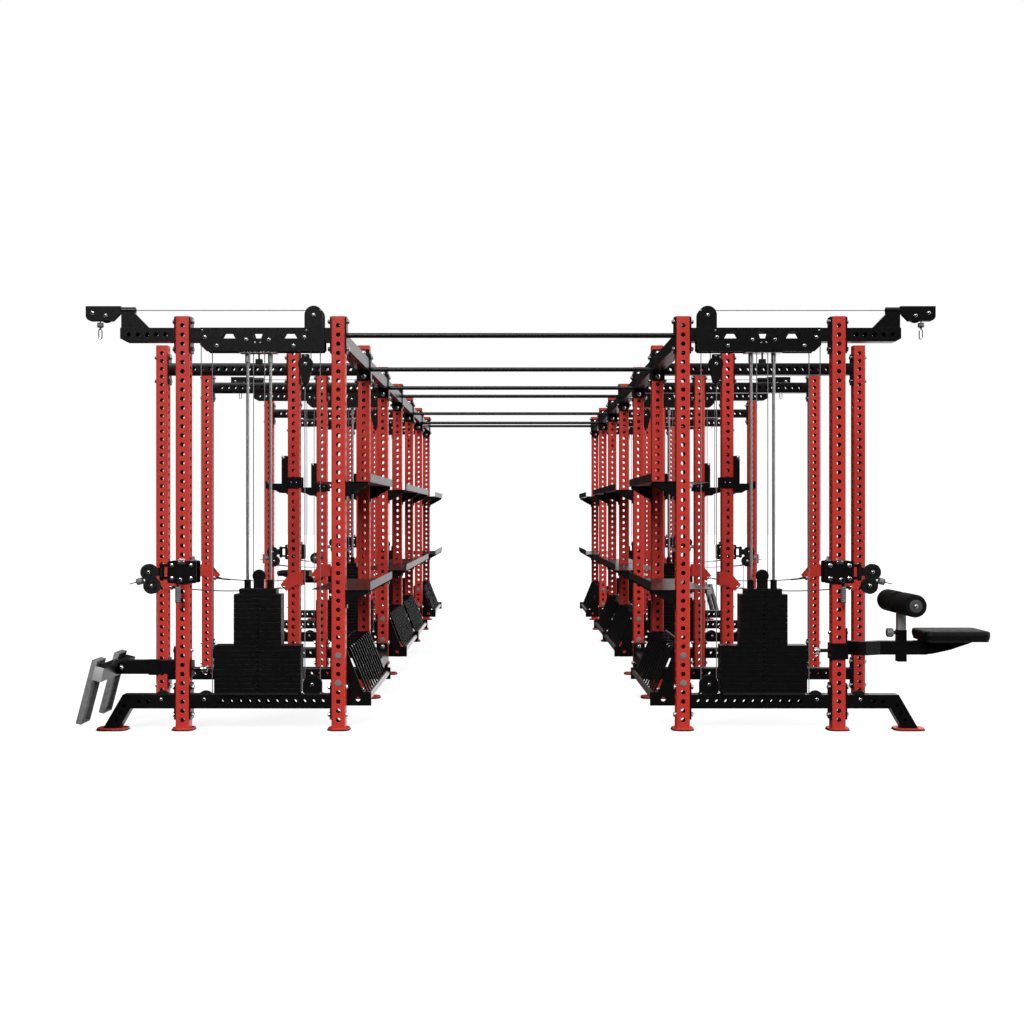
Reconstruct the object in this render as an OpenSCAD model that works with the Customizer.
// Double-row training rig: two mirrored rows of perforated uprights over a central aisle,
// with six cable towers, eight power-rack planes, storage, a low-row station and a lat seat at each end.
// Millimetres. X runs across the aisle, Y along it, Z up. The origin is on the floor at the centre.

/* [Layout] */
// Distance between neighbouring upright planes along the aisle
bay_pitch = 1219.2; // [1117.6:50.8:1320.8]
// Distance from the centre line to the inner line of uprights
inner_x = 955; // [905:10:1005]
// Distance from the centre line to the outer upright of a cable tower
tower_outer_x = 1818; // [1808:1:1828]
// Distance from the centre line to the middle upright of a rack plane
rack_mid_x = 1411; // [1391:10:1431]
// Distance from the centre line to the outer upright of a rack plane
rack_outer_x = 2267; // [2217:10:2317]

/* [Uprights] */
// Outside width of the square tube
tube_w = 76.2; // [76.2]
// Wall thickness of the tube
tube_wall = 3; // [2.5:0.5:4]
// Outside corner radius of the tube
tube_r = 6; // [4:1:8]
// Diameter of the attachment holes
hole_d = 25; // [22:1:26]
// Hole spacing, in both directions
hole_pitch = 50.8; // [50.8]
// Height of the uprights' top ends above the floor
rig_h = 2295; // [2290:1:2300]
// Height of the lowest front-to-back hole
first_hole_z = 59; // [58:0.5:60]

/* [Bars and beams] */
// Diameter of the pull-up bars
bar_d = 28; // [25:1:34]
// Thickness of the bolted end flanges
flange_t = 8; // [6:1:10]
// Diameter of the frame bolts
bolt_d = 16; // [14:1:18]

/* [Cable towers] */
// Distance from the centre line to the middle of the weight stack
stack_x = 1400; // [1395:1:1405]
// Distance between the two guide rods
rod_spacing = 127; // [127]
// Diameter of the guide rods
rod_d = 17; // [17]
// Width of a plate in the lower, wide part of the stack
wide_plate_w = 479; // [440:1:480]
// Width of a plate in the upper part of the stack
plate_w = 262; // [240:1:270]
// Depth of the plates
plate_depth = 100; // [90:1:110]
// Cable diameter
cable_d = 5; // [4:0.5:5]

/* [Stations] */
// Diameter of the foam rollers
roller_d = 125; // [110:1:130]
// Length of the seat pad, outwards
seat_len = 360; // [340:1:360]
// Width of the seat pad, along the aisle
seat_w = 270; // [220:1:300]

/* [Hidden] */

RED = [0.70, 0.22, 0.20];
BLACK = [0.09, 0.09, 0.10];
RUBBER = [0.05, 0.05, 0.05];
STEEL = [0.65, 0.65, 0.66];
GREY = [0.45, 0.45, 0.46];

half_tube = tube_w / 2;
hole_count = 44;
side_hole_z = first_hole_z + hole_pitch / 2;
pad_t = 5;
plate_t = 8;
floor_top = pad_t + plate_t;

// Beam levels: each is the height of the beam's centre line.
tower_top_z = first_hole_z + 42 * hole_pitch;
rack_top_z = first_hole_z + 41 * hole_pitch;
rail_z = side_hole_z + 41 * hole_pitch;
base_z = first_hole_z + 2 * hole_pitch;
tie_z = side_hole_z + hole_pitch;
flange_h = 4 * hole_pitch;
bolt_offset = 1.5 * hole_pitch;

TOWER_PLANES = [1, 4, 7];
RACK_PLANES = [2, 3, 5, 6];
STORAGE_BAYS = [1, 3, 4, 6];
TIE_BAYS = [2, 5];

// Side holes, counted from the lowest, that the shelf bolts and the J-cups' pins use.
SHELF_HOLES = [13, 25];
cup_hole = 26;

function plane_y(p) = (p - 4) * bay_pitch;

// ---------- placing ----------

// Children are drawn for the row at +X; side -1 mirrors them to the other row.
module on_side(side) {
    if (side < 0) mirror([1, 0, 0]) children();
    else children();
}

module at_tower(side, plane) {
    translate([0, plane_y(plane), 0]) on_side(side) children();
}

module each_tower() {
    for (side = [-1, 1], plane = TOWER_PLANES) at_tower(side, plane) children();
}

module each_rack() {
    for (side = [-1, 1], plane = RACK_PLANES) at_tower(side, plane) children();
}

module each_storage_bay() {
    for (side = [-1, 1], bay = STORAGE_BAYS) at_tower(side, bay) children();
}

// ---------- shared shapes ----------

module rounded_rect(w, h, r) {
    square([w - 2 * r, h], center = true);
    square([w, h - 2 * r], center = true);
    for (sx = [-1, 1], sy = [-1, 1])
        translate([sx * (w / 2 - r), sy * (h / 2 - r)]) circle(r = r, $fn = 32);
}

module tube_profile() {
    difference() {
        rounded_rect(tube_w, tube_w, tube_r);
        square(tube_w - 2 * tube_wall, center = true);
    }
}

module beam_profile() {
    difference() {
        square(tube_w, center = true);
        square(tube_w - 2 * tube_wall, center = true);
    }
}

// A plate seen from the front (outline in X and Z), t thick and centred on y.
module xz_plate(t, y = 0) {
    translate([0, y + t / 2, 0]) rotate([90, 0, 0]) linear_extrude(t) children();
}

module rod_x(x0, x1, z, d, y = 0) {
    translate([x0, y, z]) rotate([0, 90, 0]) cylinder(d = d, h = x1 - x0, $fn = 32);
}

module rod_y(y0, y1, x, z, d) {
    translate([x, y1, z]) rotate([90, 0, 0]) cylinder(d = d, h = y1 - y0, $fn = 32);
}

module rod_z(z0, z1, x, d, y = 0) {
    translate([x, y, z0]) cylinder(d = d, h = z1 - z0, $fn = 32);
}

// Upright with all its front-to-back holes, and the side holes that a bolt, pin or cable goes through.
module upright(side_holes) {
    difference() {
        translate([0, 0, floor_top]) linear_extrude(rig_h - floor_top) tube_profile();
        for (i = [0:hole_count - 1]) rod_y(-tube_w, tube_w, 0, first_hole_z + i * hole_pitch, hole_d);
        for (i = side_holes) rod_x(-tube_w, tube_w, side_hole_z + i * hole_pitch, hole_d);
    }
}

// Tube along X from x0 to x1 at height z, with a flange at each end that is asked for.
module beam_x(x0, x1, z, flange_0 = true, flange_1 = true) {
    translate([x0, 0, z]) rotate([90, 0, 90]) linear_extrude(x1 - x0) beam_profile();
    if (flange_0) translate([x0, 0, z]) flange_x();
    if (flange_1) translate([x1 - flange_t, 0, z]) flange_x();
}

// End flange that stands against an upright's side, with its two bolt holes.
module flange_x() {
    difference() {
        rotate([90, 0, 90]) linear_extrude(flange_t) rounded_rect(tube_w, flange_h, 10);
        for (s = [-1, 1]) rod_x(-1, flange_t + 1, s * bolt_offset, bolt_d + 1);
    }
}

module beam_y(y0, y1, x, z) {
    translate([x, y0, z]) rotate([0, 0, 90]) beam_x(0, y1 - y0, 0);
}

// Flanged bolt with its cap nut along X, through an upright centred at x.
// Each grip is the distance from the upright's centre to the bolt's flange on that side.
module bolt_x(x, z, grip_0, grip_1, head_r = 16) {
    head_t = 13;
    nut_t = 19;
    translate([x, 0, z]) rotate([0, 90, 0]) rotate_extrude($fn = 32) polygon([
        [0, -grip_0 - head_t], [head_r, -grip_0 - head_t], [head_r, -grip_0], [bolt_d / 2, -grip_0],
        [bolt_d / 2, grip_1], [head_r, grip_1], [head_r, grip_1 + nut_t], [0, grip_1 + nut_t]
    ]);
}

module bolt_pair_x(x, z, grip_0, grip_1) {
    for (s = [-1, 1]) bolt_x(x, z + s * bolt_offset, grip_0, grip_1);
}

module bolt_y(x, y, z, grip_0, grip_1, head_r = 16) {
    translate([x, y, 0]) rotate([0, 0, 90]) bolt_x(0, z, grip_0, grip_1, head_r);
}

module bolt_pair_y(x, y, z, grip_0, grip_1) {
    translate([x, y, 0]) rotate([0, 0, 90]) bolt_pair_x(0, z, grip_0, grip_1);
}

// Grooved pulley in the XZ plane: groove_r is the cable's centre line.
module pulley(x, z, groove_r, outer_r, bore = 10) {
    w = 14;
    root_r = groove_r - cable_d / 2 - 1.3;
    translate([x, 0, z]) rotate([90, 0, 0]) rotate_extrude($fn = 48) polygon([
        [bore / 2, -w / 2], [outer_r, -w / 2], [outer_r, -w / 2 + 2], [root_r, -2],
        [root_r, 2], [outer_r, w / 2 - 2], [outer_r, w / 2], [bore / 2, w / 2]
    ]);
}

// Straight cable between two points of the XZ plane.
module strand(p, q, d = cable_d) {
    run = q - p;
    translate([p[0], 0, p[1]]) rotate([0, 90 - atan2(run[1], run[0]), 0])
        cylinder(d = d, h = norm(run), $fn = 16);
}

// Cable bent round a pulley from angle a by sweep, angles counted from +X towards +Z.
module wrap(x, z, groove_r, a, sweep) {
    translate([x, 0, z]) rotate([90, 0, 0]) rotate([0, 0, a]) rotate_extrude(angle = sweep, $fn = 64)
        translate([groove_r, 0]) circle(d = cable_d, $fn = 16);
}

// ---------- frame ----------

module tower_uprights() {
    color(RED) each_tower() {
        translate([inner_x, 0, 0]) upright(concat([0, 3, 40, 43], SHELF_HOLES));
        translate([tower_outer_x, 0, 0]) upright([0, 1, 3, 5, 7, 9, 40, 43]);
    }
}

module rack_uprights(side) {
    color(RED) for (plane = RACK_PLANES) at_tower(side, plane) {
        translate([inner_x, 0, 0]) upright(concat([0, 3, 39, 42], SHELF_HOLES));
        translate([rack_mid_x, 0, 0]) upright([0, 3, cup_hole, 39, 42]);
        translate([rack_outer_x, 0, 0]) upright([0, 3, 39, 42]);
    }
}

foot_w = 127;
leg_foot_x = 2212;
leg_foot_w = 175;
rack_foot_w = 214;

// Every foot as its place and its width along X.
TOWER_FEET = [[inner_x, foot_w], [tower_outer_x, foot_w], [leg_foot_x, leg_foot_w]];
RACK_FEET = [[inner_x, rack_foot_w], [rack_mid_x, foot_w], [rack_outer_x, foot_w]];

module foot_plate(f) {
    translate([f[0], 0, pad_t]) linear_extrude(plate_t) rounded_rect(f[1], foot_w, 20);
}

module foot_plates() {
    color(RED) {
        each_tower() for (f = TOWER_FEET) foot_plate(f);
        each_rack() for (f = RACK_FEET) foot_plate(f);
    }
}

// Each pad is a little smaller than its plate, so that the plate hides it.
module foot_pad(f) {
    inset = 14;
    translate([f[0], 0, pad_t / 2]) cube([f[1] - inset, foot_w - inset, pad_t], center = true);
}

module foot_pads() {
    color(RUBBER) {
        each_tower() for (f = TOWER_FEET) foot_pad(f);
        each_rack() for (f = RACK_FEET) foot_pad(f);
    }
}

module aisle_beams() {
    module between_planes(x, bay, z) {
        beam_y(plane_y(bay) + half_tube, plane_y(bay + 1) - half_tube, x, z);
    }
    color(BLACK) for (side = [-1, 1]) {
        for (bay = [1:6]) between_planes(side * inner_x, bay, rail_z);
        for (bay = TIE_BAYS) between_planes(side * inner_x, bay, tie_z);
    }
}

module rack_beams() {
    color(BLACK) each_rack() for (z = [rack_top_z, base_z]) {
        beam_x(inner_x + half_tube, rack_mid_x - half_tube, z);
        beam_x(rack_mid_x + half_tube, rack_outer_x - half_tube, z);
    }
}

// The top beam is two stubs, bridged by the header plates, and an outer arm that carries the lat head.
header_in_x = 1050;
header_out_x = 1702;
arm_end_x = 2162;

module tower_top_beams() {
    color(BLACK) each_tower() {
        beam_x(inner_x + half_tube, header_in_x, tower_top_z, flange_1 = false);
        difference() {
            beam_x(header_out_x, tower_outer_x - half_tube, tower_top_z, flange_0 = false);
            // Slot for the end pulley and the cable that goes down from it.
            translate([header_out_x - 1, -8, tower_top_z - half_tube - 1]) cube([28, 16, tube_wall + 2]);
        }
        difference() {
            beam_x(tower_outer_x + half_tube, arm_end_x, tower_top_z, flange_1 = false);
            for (i = [0:4]) rod_y(-tube_w, tube_w, 1912 + i * hole_pitch, tower_top_z, hole_d);
            translate([arm_end_x, 0, tower_top_z - half_tube]) rotate([0, 60, 0])
                cube([30, 100, 60], center = true);
        }
    }
}

// Base: a straight beam between the uprights and a bent outer leg, both slotted for the cable pulleys.
base_pulley_out_x = 1934.5;
base_pulley_in_x = 1696;
base_pulley_z = 173;
base_groove_r = 31;
leg_bend_x = 2149;
leg_angle = 60;

function leg_outline(inset) = let(
    top = base_z + half_tube, low = base_z - half_tube, side = inset / sin(leg_angle),
    turn = inset * (1 - cos(leg_angle)) / sin(leg_angle),
    inner_bend = leg_bend_x - tube_w * tan(leg_angle / 2),
    start = tower_outer_x + half_tube
) [
    [start, low + inset], [inner_bend + turn, low + inset],
    [inner_bend + (low - floor_top) / tan(leg_angle) + side, floor_top],
    [leg_bend_x + (top - floor_top) / tan(leg_angle) - side, floor_top],
    [leg_bend_x - turn, top - inset], [start, top - inset]
];

module pulley_slot(x) {
    translate([x, 0, base_z + half_tube]) cube([104, 22, 24], center = true);
    rod_y(-tube_w, tube_w, x, base_pulley_z, 10.2);
}

module tower_base_beams() {
    color(BLACK) each_tower() {
        difference() {
            beam_x(inner_x + half_tube, tower_outer_x - half_tube, base_z);
            for (x = [inner_x + half_tube + 50:hole_pitch:base_pulley_in_x - 90])
                rod_y(-tube_w, tube_w, x, base_z, hole_d);
            pulley_slot(base_pulley_in_x);
            rod_x(tower_outer_x - half_tube - 20, tower_outer_x, base_pulley_z - base_groove_r, 14);
        }
        difference() {
            union() {
                xz_plate(tube_w) polygon(leg_outline(0));
                translate([tower_outer_x + half_tube, 0, base_z]) flange_x();
            }
            xz_plate(tube_w - 2 * tube_wall) polygon([for (p = leg_outline(tube_wall))
                p[0] < tower_outer_x + half_tube + 1 ? [p[0] + flange_t, p[1]] : p]);
            pulley_slot(base_pulley_out_x);
            rod_x(tower_outer_x, tower_outer_x + half_tube + 20, base_pulley_z - base_groove_r, 14);
            for (x = [2010, 2060]) rod_y(-tube_w, tube_w, x, base_z, hole_d);
            for (i = [0:2]) rod_y(-tube_w, tube_w, 2141 + i * 22.5, 138 - i * 39, 20);
        }
    }
}

module pullup_bars() {
    color(BLACK) for (plane = [1:7]) translate([0, plane_y(plane), 0]) {
        z = len(search(plane, TOWER_PLANES)) > 0 ? tower_top_z : rack_top_z;
        reach = inner_x - half_tube;
        rod_x(-reach + flange_t, reach - flange_t, z, bar_d);
        for (side = [-1, 1]) on_side(side) translate([reach - flange_t, 0, z]) flange_x();
    }
}

module frame_bolts() {
    one_side = half_tube + flange_t;
    color(STEEL) {
        each_tower() {
            bolt_pair_x(inner_x, tower_top_z, one_side, one_side);
            bolt_pair_x(tower_outer_x, tower_top_z, one_side, one_side);
            bolt_pair_x(inner_x, base_z, half_tube, one_side);
            bolt_pair_x(tower_outer_x, base_z, one_side, one_side);
        }
        each_rack() {
            bolt_pair_x(inner_x, rack_top_z, one_side, one_side);
            bolt_pair_x(inner_x, base_z, half_tube, one_side);
            for (z = [rack_top_z, base_z]) {
                bolt_pair_x(rack_mid_x, z, one_side, one_side);
                bolt_pair_x(rack_outer_x, z, one_side, half_tube);
            }
        }
        for (side = [-1, 1], plane = [1:7]) {
            // At each end of the rig the bolt goes through the inner wall only: the outer face stays clear.
            grip_0 = plane == 1 ? tube_wall - half_tube : one_side;
            grip_1 = plane == 7 ? tube_wall - half_tube : one_side;
            bolt_pair_y(side * inner_x, plane_y(plane), rail_z, grip_0, grip_1);
            // Bolts of the storage racks and shelves.
            plate_0 = len(search(plane - 1, STORAGE_BAYS)) > 0 ? half_tube + rack_side_t : half_tube;
            plate_1 = len(search(plane, STORAGE_BAYS)) > 0 ? half_tube + rack_side_t : half_tube;
            for (z = RACK_BOLT_Z) bolt_y(side * inner_x, plane_y(plane), z, plate_0, plate_1, 19);
            at_tower(side, plane) for (i = SHELF_HOLES)
                bolt_x(inner_x, side_hole_z + i * hole_pitch, half_tube + shelf_bracket_t, half_tube);
        }
        // The upper bolt of each tie also holds the storage rack's side plate.
        for (side = [-1, 1], bay = TIE_BAYS, s = [-1, 1]) {
            rack_grip = s > 0 ? half_tube + rack_side_t : half_tube;
            bolt_y(side * inner_x, plane_y(bay), tie_z + s * bolt_offset, rack_grip, one_side);
            bolt_y(side * inner_x, plane_y(bay + 1), tie_z + s * bolt_offset, one_side, rack_grip);
        }
    }
}

// ---------- cable towers ----------

barrel_z = 2332;
barrel_d = 36;
barrel_bore = 24;
barrel_x0 = 2087;
barrel_x1 = 2163;
arm_top = tower_top_z + half_tube;

module arm_brackets() {
    color(BLACK) each_tower() difference() {
        union() {
            rod_x(barrel_x0, barrel_x1, barrel_z, barrel_d);
            xz_plate(32) polygon([[2007, arm_top], [barrel_x1, arm_top], [barrel_x1, barrel_z - 4],
                [barrel_x0, barrel_z - 4], [barrel_x0, barrel_z - 20]]);
        }
        rod_x(barrel_x0 - 1, barrel_x1 + 1, barrel_z, barrel_bore);
        xz_plate(20) polygon([[2030, arm_top - 1], [barrel_x1 + 1, arm_top - 1],
            [barrel_x1 + 1, barrel_z - 24], [barrel_x0 + 6, barrel_z - 24]]);
    }
}

// Header: two plates outside the beam stubs, with the pulleys between them.
tall_pulley = [1090, 2301];
header_top = arm_top;
header_low = 2099;
HEADER_PULLEYS = [[1691, 2178], [1625, 2131], [1462, 2164], [1337, 2164], [1201, 2131], [1141, 2178]];
header_groove_r = 31;
header_pulley_r = 36;

module trapezoid(x, low_w, top_w) {
    polygon([[x - low_w / 2, 2171], [x + low_w / 2, 2171], [x + top_w / 2, 2207], [x - top_w / 2, 2207]]);
}

module header_outline() {
    difference() {
        union() {
            polygon([[1031, header_low + 12], [1043, header_low], [1681, header_low], [1718, 2135],
                [1718, header_top], [1031, header_top]]);
            translate([tall_pulley[0] - 51, header_top - 1]) square([102, tall_pulley[1] - header_top + 1]);
            translate(tall_pulley) circle(r = 51, $fn = 64);
        }
        trapezoid(1568, 90, 50);
        trapezoid(1400, 40, 62);
        trapezoid(1226, 90, 50);
        for (p = concat(HEADER_PULLEYS, [tall_pulley])) translate(p) circle(d = 10.2, $fn = 24);
    }
}

module header_plates() {
    t = 6;
    color(BLACK) each_tower() {
        for (s = [-1, 1]) xz_plate(t, s * (half_tube + t / 2)) header_outline();
        difference() {
            translate([1301, -half_tube, header_low - 6]) cube([204, tube_w, 6]);
            for (s = [-1, 1]) {
                rod_z(header_low - 8, header_low + 2, stack_x + s * rod_spacing / 2, rod_d + 0.2);
                rod_z(header_low - 8, header_low + 2, stack_x + s * 31, 12);
            }
        }
        // Spacer tubes with the pulley axles inside, from plate to plate.
        for (p = concat(HEADER_PULLEYS, [tall_pulley])) for (s = [-1, 1]) difference() {
            rod_y(s > 0 ? 7.2 : -half_tube, s > 0 ? half_tube : -7.2, p[0], p[1], 20);
            rod_y(-half_tube - 1, half_tube + 1, p[0], p[1], 10.2);
        }
    }
}

stack_base_z = 211;
wide_top_z = 474;
stack_top_z = 756;
wide_count = 10;
plate_count = 11;
collar_d = 28;
collar_low = 2041;
stem_d = 20;
selector_d = 9;

module guide_rods() {
    color(STEEL) each_tower() for (s = [-1, 1]) {
        x = stack_x + s * rod_spacing / 2;
        rod_z(base_z + half_tube, header_low, x, rod_d);
        difference() {
            rod_z(collar_low, header_low - 6, x, collar_d);
            rod_z(collar_low - 1, header_low, x, rod_d);
        }
    }
}

module bump_stops() {
    color(RUBBER) each_tower() {
        rod_z(2060, header_low - 6, stack_x, 10);
        translate([stack_x, 0, 2047]) rounded_block(36, 40, 26, 5);
        difference() {
            translate([stack_x - wide_plate_w / 2 + 12, -plate_depth / 2, base_z + half_tube])
                cube([wide_plate_w - 24, plate_depth, stack_base_z - base_z - half_tube]);
            for (s = [-1, 1]) rod_z(150, 230, stack_x + s * rod_spacing / 2, rod_d + 1);
        }
    }
}

module rounded_block(w, d, h, r) {
    translate([0, 0, -h / 2]) linear_extrude(h) rounded_rect(w, d, r);
}

module stack_plate(z, w, h) {
    gap = 1;
    difference() {
        translate([stack_x, 0, z + (h - gap) / 2]) cube([w, plate_depth, h - gap], center = true);
        for (s = [-1, 1]) rod_z(z - 1, z + h, stack_x + s * rod_spacing / 2, rod_d + 2);
        translate([stack_x, 0, z + h / 2]) cube([stem_d + 4, stem_d + 4, 2 * h], center = true);
        rod_y(-plate_depth, 0, stack_x, z + (h - gap) / 2, selector_d);
    }
}

module weight_plates() {
    wide_h = (wide_top_z - stack_base_z) / wide_count;
    narrow_h = (stack_top_z - wide_top_z) / plate_count;
    color(BLACK) each_tower() {
        for (i = [0:wide_count - 1]) stack_plate(stack_base_z + i * wide_h, wide_plate_w, wide_h);
        for (i = [0:plate_count - 1]) stack_plate(wide_top_z + i * narrow_h, plate_w, narrow_h);
    }
}

// Pulleys that stay in place, with their axle bolts.
row_pulley = [1102, 253];
row_groove_r = 43;
row_foot_top = 202;
floating_pulley = [1141, 2034];

module axle(p, half_len) {
    rod_y(-half_len, half_len, p[0], p[1], 9.9);
    head_t = 5;
    rod_y(half_len, half_len + head_t, p[0], p[1], 17);
    rod_y(-half_len - head_t, -half_len, p[0], p[1], 17);
}

module fixed_pulleys() {
    color(GREY) each_tower() {
        for (p = HEADER_PULLEYS) {
            pulley(p[0], p[1], header_groove_r, header_pulley_r);
            axle(p, half_tube + 6);
        }
        pulley(tall_pulley[0], tall_pulley[1], header_groove_r, 41);
        axle(tall_pulley, half_tube + 6);
        for (x = [base_pulley_out_x, base_pulley_in_x]) {
            pulley(x, base_pulley_z, base_groove_r, 45);
            axle([x, base_pulley_z], half_tube);
        }
        pulley(row_pulley[0], row_pulley[1], row_groove_r, 50);
        axle(row_pulley, 18);
        pulley(floating_pulley[0], floating_pulley[1], 30, 38);
        axle(floating_pulley, 15);
    }
}

module pulley_brackets() {
    color(BLACK) each_tower() {
        for (s = [-1, 1]) {
            // Upright ears of the inner base pulley, on a foot that stands on the base beam.
            xz_plate(6, s * 14) difference() {
                union() {
                    translate([1050, row_foot_top]) square([104, row_pulley[1] - row_foot_top]);
                    translate(row_pulley) circle(r = 52, $fn = 64);
                }
                translate(row_pulley) circle(d = 10.2, $fn = 24);
            }
            // Cheeks of the floating pulley block.
            xz_plate(4, s * 11) difference() {
                union() {
                    translate(floating_pulley) circle(r = 41, $fn = 64);
                    polygon([[1103, 2020], [1179, 2020], [1156, 1925], [1126, 1925]]);
                    translate([1121, 2034]) square([40, 54]);
                }
                translate(floating_pulley) circle(d = 10.2, $fn = 24);
            }
        }
        translate([1044, -30, base_z + half_tube]) cube([116, 60, row_foot_top - base_z - half_tube]);
        translate([1126, -9, 1925]) cube([30, 18, 22]);
        rod_z(1905, 1925, 1141, 20);
    }
}

// ---------- cables ----------

lat_strand_x = tall_pulley[0] - header_groove_r;
float_strand_x = row_pulley[0] + row_groove_r;
stack_pulley_z = 855;
trolley_z = 878;
anchor_strand_x = HEADER_PULLEYS[0][0] + header_groove_r;
rise_strand_x = HEADER_PULLEYS[0][0] - header_groove_r;
arm_strand_x = base_pulley_out_x + base_groove_r;

module fixed_cables() {
    color(GREY) each_tower() {
        top = tall_pulley[1] + header_groove_r;
        strand([tall_pulley[0], top], [barrel_x0 - 4, top]);
        wrap(tall_pulley[0], tall_pulley[1], header_groove_r, 90, 90);
        strand([lat_strand_x, row_pulley[1]], [lat_strand_x, tall_pulley[1]]);
        wrap(row_pulley[0], row_pulley[1], row_groove_r, 180, 180);
        strand([float_strand_x, row_pulley[1]], [float_strand_x, 1905]);
        for (x = [floating_pulley[0] - 30, floating_pulley[0] + 30])
            strand([x, floating_pulley[1]], [x, x < 1141 ? 2178 : 2131]);
        strand([rise_strand_x, base_pulley_z], [rise_strand_x, HEADER_PULLEYS[0][1]]);
        wrap(HEADER_PULLEYS[0][0], HEADER_PULLEYS[0][1], header_groove_r, 0, 180);
        wrap(base_pulley_out_x, base_pulley_z, base_groove_r, 270, 90);
        wrap(base_pulley_in_x, base_pulley_z, base_groove_r, 180, 90);
        low = base_pulley_z - base_groove_r;
        strand([base_pulley_in_x, low], [base_pulley_out_x, low]);
    }
}

// The two runs that shorten as a weight carriage rises.
module carriage_cables() {
    color(GREY) each_tower() for (s = [-1, 1]) {
        x = stack_x + s * header_groove_r;
        strand([x, stack_pulley_z], [x, 2164]);
    }
}

// The two runs that change as a trolley moves.
module trolley_cables() {
    color(GREY) each_tower() {
        strand([anchor_strand_x, trolley_z + 62], [anchor_strand_x, HEADER_PULLEYS[0][1]]);
        strand([arm_strand_x, base_pulley_z], [arm_strand_x, trolley_z - 77]);
    }
}

// ---------- moving parts of a tower ----------

module carriage(side, plane) {
    color(BLACK) at_tower(side, plane) {
        difference() {
            union() {
                translate([stack_x, 0, stack_top_z]) linear_extrude(29) rounded_rect(207, 90, 8);
                for (s = [-1, 1]) rod_z(stack_top_z + 29, 834, stack_x + s * rod_spacing / 2, 37);
            }
            for (s = [-1, 1]) rod_z(stack_top_z - 1, 840, stack_x + s * rod_spacing / 2, rod_d + 0.1);
        }
        rod_z(stack_base_z + 8, stack_top_z, stack_x, stem_d);
        for (s = [-1, 1]) xz_plate(6, s * 13) difference() {
            union() {
                translate([stack_x - 28, 785]) square([56, stack_pulley_z - 785]);
                translate([stack_x, stack_pulley_z]) circle(r = 32, $fn = 48);
            }
            translate([stack_x, stack_pulley_z]) circle(d = 10.2, $fn = 24);
        }
        pulley(stack_x, stack_pulley_z, header_groove_r - 1, 36);
        axle([stack_x, stack_pulley_z], 16);
        rod_y(-49, -45, stack_x, 770, 19);
    }
}

trolley_low = 816;
trolley_top = 940;
trolley_w = 160;
liner = 1.5;
hinge_x = 1941;

module trolley(side, plane) {
    y_in = half_tube + liner;
    color(BLACK) at_tower(side, plane) {
        // Front and back plates, and the two side blocks between them.
        for (s = [-1, 1]) xz_plate(8, s * (y_in + 4)) difference() {
            translate([tower_outer_x, trolley_z]) rounded_rect(trolley_w, trolley_top - trolley_low, 10);
            for (sx = [-1, 1], sz = [-1, 1])
                translate([tower_outer_x + sx * 53, trolley_z + sz * 36]) circle(d = 12.2, $fn = 24);
        }
        for (sx = [-1, 1]) difference() {
            translate([tower_outer_x + sx * (y_in + 13), 0, trolley_z])
                cube([26, 2 * y_in, 110], center = true);
            for (sz = [-1, 1]) rod_y(-60, 60, tower_outer_x + sx * 53, trolley_z + sz * 36, 12.2);
        }
        // Hinge lugs towards the outside.
        for (z = [835, 905]) difference() {
            union() {
                lug_x = tower_outer_x + y_in + 25;
                translate([lug_x, -12, z]) cube([hinge_x - lug_x, 24, 16]);
                rod_z(z, z + 16, hinge_x, 28);
            }
            rod_z(z - 1, z + 17, hinge_x, 12.1);
        }
    }
    color(STEEL) at_tower(side, plane) {
        for (sx = [-1, 1], sz = [-1, 1]) {
            rod_y(-y_in - 9, y_in + 9, tower_outer_x + sx * 53, trolley_z + sz * 36, 12);
            for (s = [-1, 1]) rod_y(s > 0 ? y_in + 8.1 : -y_in - 16, s > 0 ? y_in + 16 : -y_in - 8.1,
                tower_outer_x + sx * 53, trolley_z + sz * 36, 22);
        }
        // Latch housing above the block on the stack side, with the cable anchor.
        translate([tower_outer_x - y_in - 13, 0, trolley_z + 61]) rounded_block(24, 40, 12, 4);
        rod_z(trolley_z + 67, trolley_z + 85, tower_outer_x - y_in - 13, 14);
    }
    // Release lever: a bent rod with a grip, hanging in front of the plate.
    color(GREY) at_tower(side, plane) {
        rod_y(-y_in - 52, -y_in - 8, tower_outer_x + 10, 836, 10);
        rod_z(790, 844, tower_outer_x + 10, 12, -y_in - 52);
        rod_z(712, 790, tower_outer_x + 10, 29, -y_in - 52);
    }
}

upper_wheel = [2012, 876];
lower_wheel = [1996, 801];

module slotted_disc(c) {
    difference() {
        translate(c) circle(r = 46, $fn = 64);
        translate(c) circle(d = 10.2, $fn = 24);
        for (a = [45:90:315]) translate(c) rotate(a) translate([24, 0]) square([7, 17], center = true);
    }
}

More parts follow.
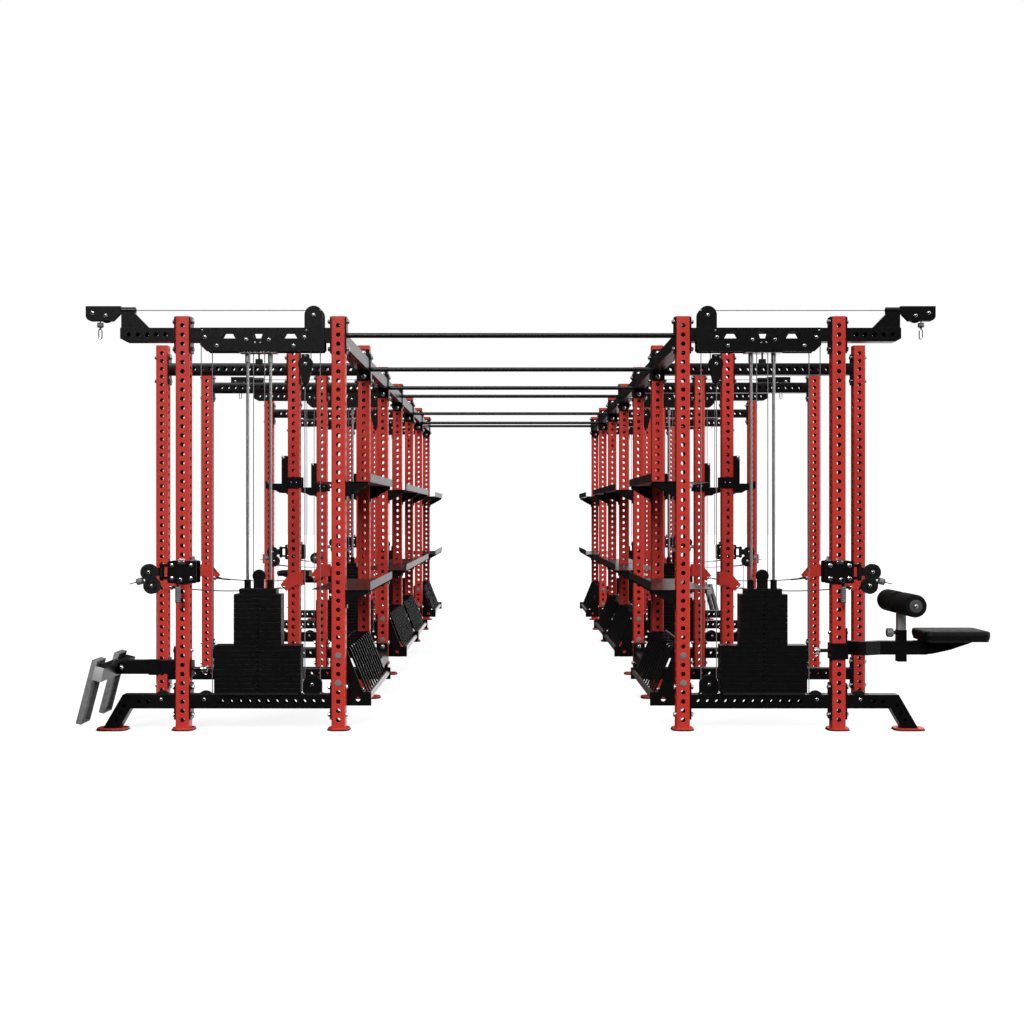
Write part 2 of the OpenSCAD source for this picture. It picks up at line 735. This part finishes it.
module trolley_arm(side, plane) {
    color(BLACK) at_tower(side, plane) {
        // Knuckle on the hinge pin, and the web that carries both wheels.
        difference() {
            rod_z(851.5, 904.5, hinge_x, 28);
            rod_z(850, 906, hinge_x, 12.05);
        }
        rod_z(829, 835, hinge_x, 20);
        rod_z(835, 926, hinge_x, 12);
        for (s = [-1, 1]) xz_plate(5, s * 11.5) union() {
            slotted_disc(upper_wheel);
            difference() {
                slotted_disc(lower_wheel);
                translate(upper_wheel) circle(r = 45, $fn = 64);
            }
        }
        for (s = [-1, 1]) translate([1954, s * 11.5 - 2.5, 855]) cube([20, 5, 46]);
        pulley(upper_wheel[0], upper_wheel[1], 30, 37);
        axle(upper_wheel, 14);
        pulley(lower_wheel[0], lower_wheel[1], 30, 37);
        axle(lower_wheel, 14);
    }
    color(GREY) at_tower(side, plane) translate([2046, 0, 829]) rotate([0, 104, 0]) {
        cylinder(d = 36, h = 34, $fn = 32);
        translate([0, 0, 34]) cylinder(d = 5, h = 44, $fn = 16);
    }
}

module lat_head(side, plane) {
    wheel = [2249, barrel_z - header_groove_r];
    guide = [2322, 2316];
    link_x = 2283;
    color(BLACK) at_tower(side, plane) {
        // Hollow shaft that turns in the arm's barrel.
        difference() {
            rod_x(barrel_x0 - 3, 2170, barrel_z, barrel_bore - 0.1);
            rod_x(barrel_x0 - 4, 2171, barrel_z, 14);
        }
        difference() {
            translate([2166, -17, 2310]) cube([10, 34, 44]);
            rod_x(2165, 2177, barrel_z, barrel_bore - 0.1);
        }
        for (s = [-1, 1]) xz_plate(6, s * 14) difference() {
            union() {
                polygon([[2176, 2354], [2360, 2354], [2360, 2302], [2330, 2272], [2212, 2272], [2176, 2308]]);
                translate([2330, 2302]) circle(r = 30, $fn = 64);
            }
            for (p = [wheel, guide]) translate(p) circle(d = 10.2, $fn = 24);
        }
        pulley(wheel[0], wheel[1], header_groove_r, 39);
        axle(wheel, 17);
        rod_y(-10.5, 10.5, guide[0], guide[1], 20);
        axle(guide, 17);
    }
    // Cable stop, and the snap link that a handle hangs from.
    color(GREY) at_tower(side, plane) {
        rod_z(2238, 2262, link_x, 34);
        rod_z(2262, 2300, link_x, cable_d);
        rod_z(2226, 2238, link_x, 10);
        translate([link_x, 0, 2200]) for (end = [-1, 1]) {
            translate([0, 0, end * 18]) rotate([90, 0, 0]) rotate([0, 0, end > 0 ? 0 : 180])
                rotate_extrude(angle = 180, $fn = 48) translate([9, 0]) circle(d = 6, $fn = 16);
            rod_z(-18, 18, end * 9, 6);
        }
    }
}

// ---------- rack planes ----------

cup_low = 1368;
cup_top = 1439;

module j_cups() {
    face = half_tube + 1.5;
    side_t = 6;
    back = face + 36.5;
    color(BLACK) each_rack() translate([rack_mid_x, 0, 0]) {
        // Channel over the front and back of the upright, and the tall block with the cup's arm.
        for (s = [-1, 1]) xz_plate(side_t, s * (face + side_t / 2))
            polygon([[-52, cup_low], [face + side_t, cup_low], [face + side_t, cup_top], [-52, cup_top]]);
        difference() {
            xz_plate(2 * (face + side_t)) polygon([
                [face, 1326], [50, 1335], [88, 1336], [115, 1351], [165, 1361], [179, 1366], [179, 1412],
                [168, 1412], [165, 1397], [back, 1397], [back, 1577], [face, 1577]
            ]);
            xz_plate(2 * face) polygon([[back + 8, 1300], [158, 1300], [158, 1385], [back + 8, 1385]]);
        }
        // Pin that drops into a side hole of the upright, and the bolt at the top of the block.
        rod_x(12, face, side_hole_z + cup_hole * hole_pitch, 16);
        rod_y(-face - side_t - 5, 0, back - 11, 1565, 16);
    }
}

// Brackets on the front and back of an upright, whose lower tabs hold the strap's pin.
strap_pin_x = 59;
strap_z = 724;

module strap_brackets() {
    face = half_tube + 1;
    color(RED) each_rack() for (x = [rack_mid_x, rack_outer_x], s = [-1, 1]) translate([x, 0, 0]) {
        inward = x == rack_mid_x ? 1 : -1;
        outline = [[-59, 822], [15, 822], [84, 740], [46, 699], [-9, 734], [-59, 734]];
        xz_plate(6, s * (face + 3)) difference() {
            polygon([for (p = outline) [inward * p[0], p[1]]]);
            translate([inward * strap_pin_x, strap_z]) circle(d = 10.4, $fn = 24);
        }
    }
}

// Webbing that sags a little between the brackets, in straight lengths that follow a parabola.
strap_w = 60;
strap_t = 4;
strap_sag = 25;
strap_steps = 12;
function strap_drop(u) = strap_sag * 4 * u * (1 - u);

module safety_straps() {
    x0 = rack_mid_x + strap_pin_x;
    x1 = rack_outer_x - strap_pin_x;
    pin_end = half_tube + 7;
    head_t = 6;
    steps = [0:strap_steps];
    points = [for (i = steps) [x0 + (x1 - x0) * i / strap_steps, strap_z - strap_drop(i / strap_steps)]];
    color(RUBBER) each_rack() {
        xz_plate(strap_w) polygon(concat(points, [for (i = [strap_steps:-1:0]) points[i] + [0, -strap_t]]));
        for (x = [x0, x1]) {
            rod_y(-pin_end, pin_end, x, strap_z, 10);
            rod_y(-strap_w / 2 - 1, strap_w / 2 + 1, x, strap_z, 19);
            rod_y(pin_end, pin_end + head_t, x, strap_z, 20);
            rod_y(-pin_end - head_t, -pin_end, x, strap_z, 20);
        }
    }
}

// ---------- aisle-side storage ----------

shelf_lip_x = 780;
shelf_back_x = 1113;
shelf_bracket_t = 8;
shelf_z = 1377;
tray_z = 776;

module shelf(z, lip_h) {
    t = 3;
    face = inner_x - half_tube;
    // Tray with its lip, in front of the uprights and between the two of its bay.
    translate([shelf_lip_x, -half_tube, z]) cube([face - shelf_lip_x, bay_pitch + tube_w, t]);
    translate([face - 0.01, half_tube + 1, z]) cube([shelf_back_x - face, bay_pitch - tube_w - 2, t]);
    translate([shelf_lip_x - t, -half_tube, z]) cube([t, bay_pitch + tube_w, lip_h]);
    // Bracket at each end, bolted to the upright's aisle face.
    for (y = [0, bay_pitch]) translate([0, y, 0]) {
        difference() {
            translate([face - shelf_bracket_t, -30, z - 100]) cube([shelf_bracket_t, 60, 100]);
            for (i = SHELF_HOLES) rod_x(face - 20, face + 20, side_hole_z + i * hole_pitch, bolt_d + 1);
        }
        for (s = [-1, 1]) xz_plate(4, s * 28) polygon([[shelf_lip_x + 8, z], [face - shelf_bracket_t, z],
            [face - shelf_bracket_t, z - 80], [face - 50, z - 60], [shelf_lip_x + 8, z - 14]]);
    }
}

module storage_shelves() {
    color(BLACK) each_storage_bay() {
        shelf(shelf_z, 47);
        shelf(tray_z, 48);
    }
}

rack_side_t = 6;
rib_count = 11;
rib_pitch = (bay_pitch - tube_w - 2 * rack_side_t) / (rib_count + 1);
RACK_BOLT_Z = [first_hole_z + 4 * hole_pitch, first_hole_z + 7 * hole_pitch];
front_tube = [803, 167];
front_tube_d = 34;

module side_outline() {
    difference() {
        polygon([[780, 127], [780, 203], [825, 203], [916, 438], [1010, 438], [1010, 300], [990, 127]]);
        translate([854, 163]) circle(d = hole_d, $fn = 32);
        for (z = concat(RACK_BOLT_Z, [tie_z + bolt_offset]))
            translate([inner_x, z]) circle(d = bolt_d + 1, $fn = 32);
    }
}

module storage_racks() {
    color(BLACK) each_storage_bay() {
        for (y = [half_tube + rack_side_t / 2, bay_pitch - half_tube - rack_side_t / 2])
            xz_plate(rack_side_t, y) side_outline();
        // Slanted bars that part the plates stored between them, bent back to the rail at their tops.
        for (i = [1:rib_count]) xz_plate(9, half_tube + rack_side_t + i * rib_pitch)
            polygon([[805, 185], [906, 433], [917, 444], [1000, 444], [1000, 434], [922, 434], [815, 182]]);
        translate([1000, half_tube + rack_side_t, 410])
            cube([14, bay_pitch - tube_w - 2 * rack_side_t, 36]);
    }
}

module storage_tubes() {
    color(STEEL) each_storage_bay() difference() {
        end_y = half_tube + rack_side_t;
        rod_y(end_y, bay_pitch - end_y, front_tube[0], front_tube[1], front_tube_d);
        rod_y(0, bay_pitch, front_tube[0], front_tube[1], front_tube_d - 5);
    }
}

// ---------- stations on the tower uprights ----------

// A saddle wraps three sides of an upright. A spring pin holds it in one side hole, and its upper
// plate is bolted through the second side hole above.
saddle_gap = 1.5;
saddle_t = 9;
saddle_h = 88;
saddle_out_x = tower_outer_x + half_tube + saddle_gap + saddle_t;
saddle_in_x = 2 * tower_outer_x - saddle_out_x;
arm_w = 50.8;

// A station on the row at -X is turned half round, so its saddle opens the other way.
module at_station(side, plane) {
    translate([0, plane_y(plane), 0]) rotate([0, 0, side < 0 ? 180 : 0]) children();
}

module saddle(pin_hole) {
    pin_z = side_hole_z + pin_hole * hole_pitch;
    bolt_z = pin_z + 2 * hole_pitch;
    inner = half_tube + saddle_gap;
    outer = inner + saddle_t;
    translate([tower_outer_x, 0, pin_z - saddle_h / 2]) linear_extrude(saddle_h) difference() {
        translate([-outer, -outer]) square([2 * outer, outer + 25]);
        translate([-inner, -inner]) square([2 * inner, 2 * outer]);
    }
    translate([saddle_out_x - saddle_t, -30, pin_z]) cube([saddle_t, 60, 2 * hole_pitch + 25]);
    // Spring pin with its barrel and pull knob, on the stack side.
    rod_x(saddle_in_x - 1, tower_outer_x - half_tube + 22, pin_z, 16);
    rod_x(1720, saddle_in_x + 1, pin_z, 21);
    rod_x(1688, 1721, pin_z, 26);
    // Bolt through the upright.
    rod_x(1768, saddle_out_x + 8, bolt_z, 12);
    rod_x(1768, tower_outer_x - half_tube - 0.1, bolt_z, 19);
    rod_x(saddle_out_x - 1, saddle_out_x + 8, bolt_z, 22);
}

// Tube outwards from a saddle to end_x, w wide and h tall, centred on z and on the line side_y(x).
module arm_body(end_x, z, w, h, start_x = saddle_out_x - 1) {
    line = concat([for (i = [0:8]) start_x + (bulge_x - start_x) * i / 8], [bulge_end_x, end_x]);
    back = [for (i = [len(line) - 1:-1:0]) line[i]];
    translate([0, 0, z - h / 2]) linear_extrude(h) polygon(concat(
        [for (x = line) [x, side_y(x) - w / 2]], [for (x = back) [x, side_y(x) + w / 2]]
    ));
}

// The seat's arm bends round the front of the tower's cable.
bulge_x = 1958;
bulge_end_x = 2050;
bulge_y = -42;
start_y = 20;
function side_y(x) =
    x < bulge_x ? start_y + (bulge_y - start_y) * sin(90 * (x - saddle_out_x) / (bulge_x - saddle_out_x)) :
    x < bulge_end_x ? bulge_y * (bulge_end_x - x) / (bulge_end_x - bulge_x) : 0;

// The low-row arm is cut where the cable goes down, and a block behind the cable bridges the gap.
cable_gap_x = [1950, 2000];
row_arm_z = 350;

module row_arm() {
    h = tube_w;
    difference() {
        translate([saddle_out_x - 1, -arm_w / 2, row_arm_z - h / 2])
            cube([2193 - saddle_out_x, arm_w, h]);
        translate([saddle_out_x, -arm_w / 2 + tube_wall, row_arm_z - h / 2 + tube_wall])
            cube([400, arm_w - 2 * tube_wall, h - 2 * tube_wall]);
        translate([cable_gap_x[0], -arm_w, row_arm_z - h])
            cube([cable_gap_x[1] - cable_gap_x[0], arm_w + 8, 2 * h]);
    }
    translate([cable_gap_x[0] - 6, 8, row_arm_z - 43]) cube([cable_gap_x[1] - cable_gap_x[0] + 12, 24, 86]);
}

// The crossbar and the foot plates lean back at their tops, turned about the bar's outer face.
row_bar = [2229.5, 0, row_arm_z];
tread_tilt = 14.5;

module at_row_bar() {
    translate(row_bar) rotate([0, -tread_tilt, 0]) children();
}

module low_row_station() {
    saddle(5);
    difference() {
        union() {
            row_arm();
            at_row_bar() translate([-50, -281, -38]) cube([50, 562, 76]);
        }
        at_row_bar() translate([-47, -285, -35]) cube([44, 570, 70]);
    }
}

module low_row_arms() {
    color(BLACK) {
        at_station(-1, 1) low_row_station();
        at_station(1, 7) low_row_station();
    }
}

module tread_pair() {
    at_row_bar() for (s = [-1, 1]) translate([0, s * 190 - 75, 0]) difference() {
        translate([0, 0, -290]) cube([30, 150, 352]);
        translate([-5, 5, -285]) cube([29, 140, 342]);
    }
}

module low_row_treads() {
    color(GREY) {
        at_station(-1, 1) tread_pair();
        at_station(1, 7) tread_pair();
    }
}

// ---------- lat seat ----------

post_x = 2172;
post_w = 45;
post_wall = 2.5;
seat_arm_z = 457;
roller_z = 705;

module seat_station() {
    holder_w = post_w + 2 * post_wall;
    saddle(7);
    difference() {
        union() {
            difference() {
                arm_body(2310, seat_arm_z, arm_w, tube_w);
                arm_body(2311, seat_arm_z, arm_w - 2 * tube_wall, tube_w - 2 * tube_wall, saddle_out_x);
            }
            xz_plate(arm_w) polygon([[2290, 419], [2340, 424], [2440, 446], [2540, 480], [2590, 498],
                [2270, 498], [2270, 470]]);
            translate([post_x - holder_w / 2, -holder_w / 2, 380]) cube([holder_w, holder_w, 176]);
            rod_x(2120, post_x, 540, 20);
        }
        translate([post_x - post_w / 2, -post_w / 2, 300]) cube([post_w, post_w, 300]);
    }
    // Knob of the post's clamp screw.
    rod_x(2093, 2126, 540, 44);
}

module seat_arms() {
    color(BLACK) {
        at_station(1, 1) seat_station();
        at_station(-1, 7) seat_station();
    }
}

module seat_pads() {
    color(RUBBER) for (end = [[1, 1], [-1, 7]]) at_tower(end[0], end[1])
        translate([2267 + seat_len / 2, 0, 498]) linear_extrude(60) rounded_rect(seat_len, seat_w, 24);
}

module roller_post(side, plane) {
    axle_d = 25;
    w = post_w - 1;
    color(STEEL) at_tower(side, plane) {
        difference() {
            translate([post_x - w / 2, -w / 2, 385]) cube([w, w, 337]);
            translate([post_x - w / 2 + 3, -w / 2 + 3, 384]) cube([w - 6, w - 6, 335]);
            for (i = [0:5]) rod_x(post_x - 40, post_x + 40, 415 + i * hole_pitch, 14);
            rod_y(-40, 40, post_x, roller_z, axle_d);
        }
        rod_y(-262, 262, post_x, roller_z, axle_d);
    }
}

module foam_rollers(side, plane) {
    color(RUBBER) at_tower(side, plane) for (s = [-1, 1]) difference() {
        rod_y(s > 0 ? 26 : -265, s > 0 ? 265 : -26, post_x, roller_z, roller_d);
        rod_y(-262, 262, post_x, roller_z, 25.2);
    }
}

tower_uprights();
rack_uprights(-1);  // rack_uprights_left
rack_uprights(1);  // rack_uprights_right
foot_plates();
foot_pads();
aisle_beams();
rack_beams();
tower_top_beams();
tower_base_beams();
pullup_bars();
arm_brackets();
header_plates();
guide_rods();
bump_stops();
weight_plates();
fixed_pulleys();
pulley_brackets();
fixed_cables();
carriage_cables();
trolley_cables();
storage_shelves();
storage_racks();
storage_tubes();
frame_bolts();
strap_brackets();
safety_straps();
j_cups();
low_row_arms();
low_row_treads();
seat_arms();
seat_pads();
roller_post(-1, 7);  // roller_post_l7
roller_post(1, 1);  // roller_post_r1
foam_rollers(-1, 7);  // foam_rollers_l7
foam_rollers(1, 1);  // foam_rollers_r1
carriage(-1, 1);  // carriage_l1
carriage(-1, 4);  // carriage_l4
carriage(-1, 7);  // carriage_l7
carriage(1, 1);  // carriage_r1
carriage(1, 4);  // carriage_r4
carriage(1, 7);  // carriage_r7
trolley(-1, 1);  // trolley_l1
trolley(-1, 4);  // trolley_l4
trolley(-1, 7);  // trolley_l7
trolley(1, 1);  // trolley_r1
trolley(1, 4);  // trolley_r4
trolley(1, 7);  // trolley_r7
trolley_arm(-1, 1);  // trolley_arm_l1
trolley_arm(-1, 4);  // trolley_arm_l4
trolley_arm(-1, 7);  // trolley_arm_l7
trolley_arm(1, 1);  // trolley_arm_r1
trolley_arm(1, 4);  // trolley_arm_r4
trolley_arm(1, 7);  // trolley_arm_r7
lat_head(-1, 1);  // lat_head_l1
lat_head(-1, 4);  // lat_head_l4
lat_head(-1, 7);  // lat_head_l7
lat_head(1, 1);  // lat_head_r1
lat_head(1, 4);  // lat_head_r4
lat_head(1, 7);  // lat_head_r7
